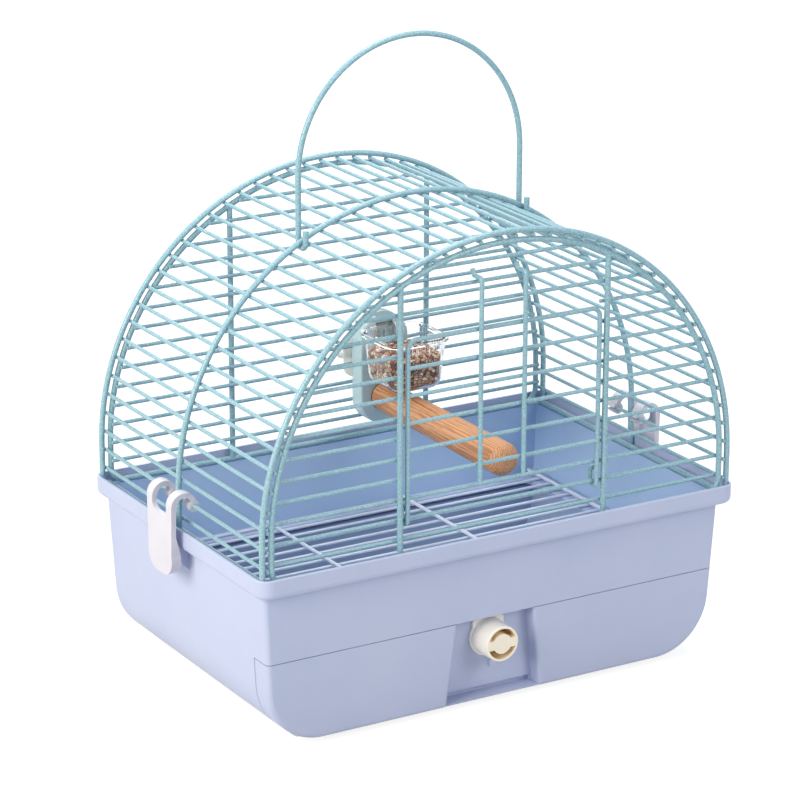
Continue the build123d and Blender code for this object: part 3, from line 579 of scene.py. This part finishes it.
def make_mount_piece():
    """The mount with the cup's slot, the perch's socket and the stud's hole cut into its block."""
    low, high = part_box("perch_mount")
    middle = (low[0] + high[0]) / 2
    front, foot = low[1], low[2]
    open_front = front - cut_spare
    open_back = high[1] + cut_spare
    open_top = high[2] + cut_spare
    piece = mount_block(low, high)
    cut_away(piece, box_cutter((middle - slot_half_width, front + slot_front, foot + slot_foot),
                               (middle + slot_half_width, front + slot_back, open_top)))
    cut_away(piece, box_cutter((middle - slot_mouth_half_width, open_front, foot + slot_foot),
                               (middle + slot_mouth_half_width, front + slot_mouth_back, open_top)))
    for side, rise, radius, back in (
        (middle + perch_side, foot + perch_rise, socket_radius, front + socket_depth),
        (middle, foot + stud_rise, stud_head_radius, front + stud_head_depth),
        (middle, foot + stud_rise, stud_hole_radius, open_back),
    ):
        cut_away(piece, round_cutter(side, rise, radius, open_front, back))
    piece.data.shade_smooth()
    piece.data.set_sharp_from_angle(angle=math.radians(30))
    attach(piece, "wire_top")
    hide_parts("perch_mount")


make_mount_piece()

# ---- Loose grains on top of the seed ------------------------------------------------------
grain_count = 420
grain_half_sizes = (0.0009, 0.0014, 0.0008)
grain_size_range = (0.8, 1.2)
grain_tip = 0.7
grain_lift = 0.0004
heap_half_width = 0.0176
heap_half_depth = 0.0186
heap_corner = 0.008
heap_height = 0.0016


def past_heap_corner(side, deep):
    """Whether a place is past one of the heap's four round corners."""
    over_side = max(abs(side) - heap_half_width + heap_corner, 0)
    over_deep = max(abs(deep) - heap_half_depth + heap_corner, 0)
    return math.hypot(over_side, over_deep) > heap_corner


def make_grain():
    """The mesh of one grain, as a ball of radius 1."""
    form = bmesh.new()
    bmesh.ops.create_uvsphere(form, u_segments=8, v_segments=6, radius=1)
    for face in form.faces:
        face.smooth = True
    grain = bpy.data.meshes.new("grain")
    form.to_mesh(grain)
    form.free()
    return grain


def make_loose_grains():
    """A scatter of single grains half sunk in the top of the seed, inside the cup's walls."""
    spread = random.Random(7)
    grain = make_grain()
    form = bmesh.new()
    low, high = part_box("seed_mix")
    middle = Vector(((low[0] + high[0]) / 2, (low[1] + high[1]) / 2, high[2]))
    placed = 0
    while placed < grain_count:
        side = spread.uniform(-heap_half_width, heap_half_width)
        deep = spread.uniform(-heap_half_depth, heap_half_depth)
        if past_heap_corner(side, deep):
            continue
        placed += 1
        heap = heap_height * (1 - (side / heap_half_width) ** 2) * (1 - (deep / heap_half_depth) ** 2)
        place = middle + Vector((side, deep, spread.uniform(-grain_lift, grain_lift) + heap))
        turn = Matrix.Rotation(spread.uniform(0, math.tau), 4, "Z")
        tip = Matrix.Rotation(spread.uniform(-grain_tip, grain_tip), 4, "X")
        size = spread.uniform(*grain_size_range)
        shape = Matrix.Diagonal([half * size for half in grain_half_sizes] + [1])
        single = grain.copy()
        single.transform(Matrix.Translation(place) @ turn @ tip @ shape)
        tone = spread.randrange(len(grain_finishes))
        single.polygons.foreach_set("material_index", [tone] * len(single.polygons))
        form.from_mesh(single)
        bpy.data.meshes.remove(single)
    bpy.data.meshes.remove(grain)
    grains = link_piece(form, "loose_grains", *grain_finishes)
    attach(grains, "cup")


make_loose_grains()

# ---- Floor and world ----------------------------------------------------------------------
floor_half_size = 15
floor_as_lit = (0.56, 0.56, 0.56, 1)
floor_as_seen = (0.26, 0.26, 0.26, 1)
near_glow = 0.84
extra_far_glow = 0.16
glow_distances = (0.4, 1.6)
ambient_strength = 0.38
ambient_tone = (0.82, 0.95, 1, 1)
white = (1, 1, 1, 1)


def seen_rays(tree):
    """1 for rays from the camera, from gloss and through glass, 0 for the rest."""
    rays = add_node(tree, "ShaderNodeLightPath").outputs
    direct = add_math(tree, "MAXIMUM", rays["Is Camera Ray"], rays["Is Glossy Ray"])
    return add_math(tree, "MAXIMUM", direct, rays["Is Transmission Ray"])


def make_floor():
    """A pale floor that shows white to the camera and keeps the shadow."""
    mesh = bpy.data.meshes.new("floor")
    form = bmesh.new()
    bmesh.ops.create_grid(form, x_segments=1, y_segments=1, size=floor_half_size)
    form.to_mesh(mesh)
    form.free()
    floor = bpy.data.objects.new("floor", mesh)
    bpy.context.scene.collection.objects.link(floor)
    material, tree, shader = start_material("floor_paper", roughness=0.9)
    shader.inputs["Base Color"].default_value = floor_as_lit
    shader.inputs["Specular IOR Level"].default_value = 0.0
    shown = add_node(tree, "ShaderNodeBsdfDiffuse")
    shown.inputs["Color"].default_value = floor_as_seen
    reach = add_node(tree, "ShaderNodeVectorMath", operation="LENGTH")
    tree.links.new(object_coordinates(tree), reach.inputs[0])
    far = add_step(tree, reach.outputs["Value"], *glow_distances)
    strength = add_math(tree, "ADD", add_math(tree, "MULTIPLY", far, extra_far_glow), near_glow)
    glow = add_node(tree, "ShaderNodeEmission")
    tree.links.new(strength, glow.inputs["Strength"])
    both = add_node(tree, "ShaderNodeAddShader")
    tree.links.new(shown.outputs["BSDF"], both.inputs[0])
    tree.links.new(glow.outputs["Emission"], both.inputs[1])
    choose = add_node(tree, "ShaderNodeMixShader")
    tree.links.new(seen_rays(tree), choose.inputs["Fac"])
    tree.links.new(shader.outputs["BSDF"], choose.inputs[1])
    tree.links.new(both.outputs["Shader"], choose.inputs[2])
    tree.links.new(choose.outputs["Shader"], tree.nodes["Material Output"].inputs["Surface"])
    mesh.materials.append(material)


def make_world():
    """White behind everything, and as light weaker and cooler."""
    world = bpy.data.worlds.new("studio")
    bpy.context.scene.world = world
    world.use_nodes = True
    tree = world.node_tree
    background = tree.nodes["Background"]
    seen = seen_rays(tree)
    strength = add_node(tree, "ShaderNodeMapRange")
    strength.inputs["To Min"].default_value = ambient_strength
    strength.inputs["To Max"].default_value = 1.0
    tree.links.new(seen, strength.inputs["Value"])
    tree.links.new(strength.outputs["Result"], background.inputs["Strength"])
    tree.links.new(add_blend(tree, seen, ambient_tone, white), background.inputs["Color"])


# ---- Lamps and camera ---------------------------------------------------------------------
lamp_target = Vector((0, 0, 0.15))
camera_azimuth = math.radians(-30.80)
camera_elevation = math.radians(18.385)
camera_roll = math.radians(0.16)
camera_distance = 2.13203
camera_target = Vector((0, 0, 0.1146))
target_right = -0.00835
target_up = 0.04902
farthest_seen = 100
sensor_width = 36
picture_width_pixels = 800
focal_length_pixels = 3413.05


def add_softbox(name, place, size, power, tone=(1, 1, 1)):
    """A square area lamp that faces the middle of the carrier."""
    lamp = bpy.data.lights.new(name, "AREA")
    lamp.size = size
    lamp.energy = power
    lamp.color = tone
    holder = bpy.data.objects.new(name, lamp)
    bpy.context.scene.collection.objects.link(holder)
    holder.location = place
    holder.rotation_euler = (lamp_target - Vector(place)).to_track_quat("-Z", "Y").to_euler()


def add_camera():
    """The camera: three-quarter view from the left and above, with a long lens."""
    level_reach = math.cos(camera_elevation)
    back = Vector((
        math.sin(camera_azimuth) * level_reach,
        -math.cos(camera_azimuth) * level_reach,
        math.sin(camera_elevation),
    ))
    level = Vector((math.cos(camera_azimuth), math.sin(camera_azimuth), 0))
    rise = back.cross(level)
    right = level * math.cos(camera_roll) + rise * math.sin(camera_roll)
    up = rise * math.cos(camera_roll) - level * math.sin(camera_roll)
    target = camera_target + right * target_right + up * target_up
    lens = bpy.data.cameras.new("camera")
    lens.sensor_width = sensor_width
    lens.lens = sensor_width * focal_length_pixels / picture_width_pixels
    lens.clip_end = farthest_seen
    camera = bpy.data.objects.new("camera", lens)
    bpy.context.scene.collection.objects.link(camera)
    turn = Matrix((right, up, back)).transposed().to_4x4()
    camera.matrix_world = Matrix.Translation(target + back * camera_distance) @ turn
    bpy.context.scene.camera = camera


make_floor()
make_world()
add_softbox("key_softbox", place=(-2.4, -0.5, 1.25), size=1.4, power=66, tone=(1, 0.925, 0.80))
add_softbox("front_fill", place=(1.0, -2.4, 1.4), size=1.2, power=23, tone=(1, 0.94, 0.89))
add_softbox("back_fill", place=(0.8, 2.6, 1.1), size=1.4, power=9)
add_softbox("top_softbox", place=(0.2, 0.3, 2.6), size=1.5, power=52, tone=(0.93, 0.95, 0.97))
add_camera()
bpy.context.scene.view_settings.view_transform = "Standard"
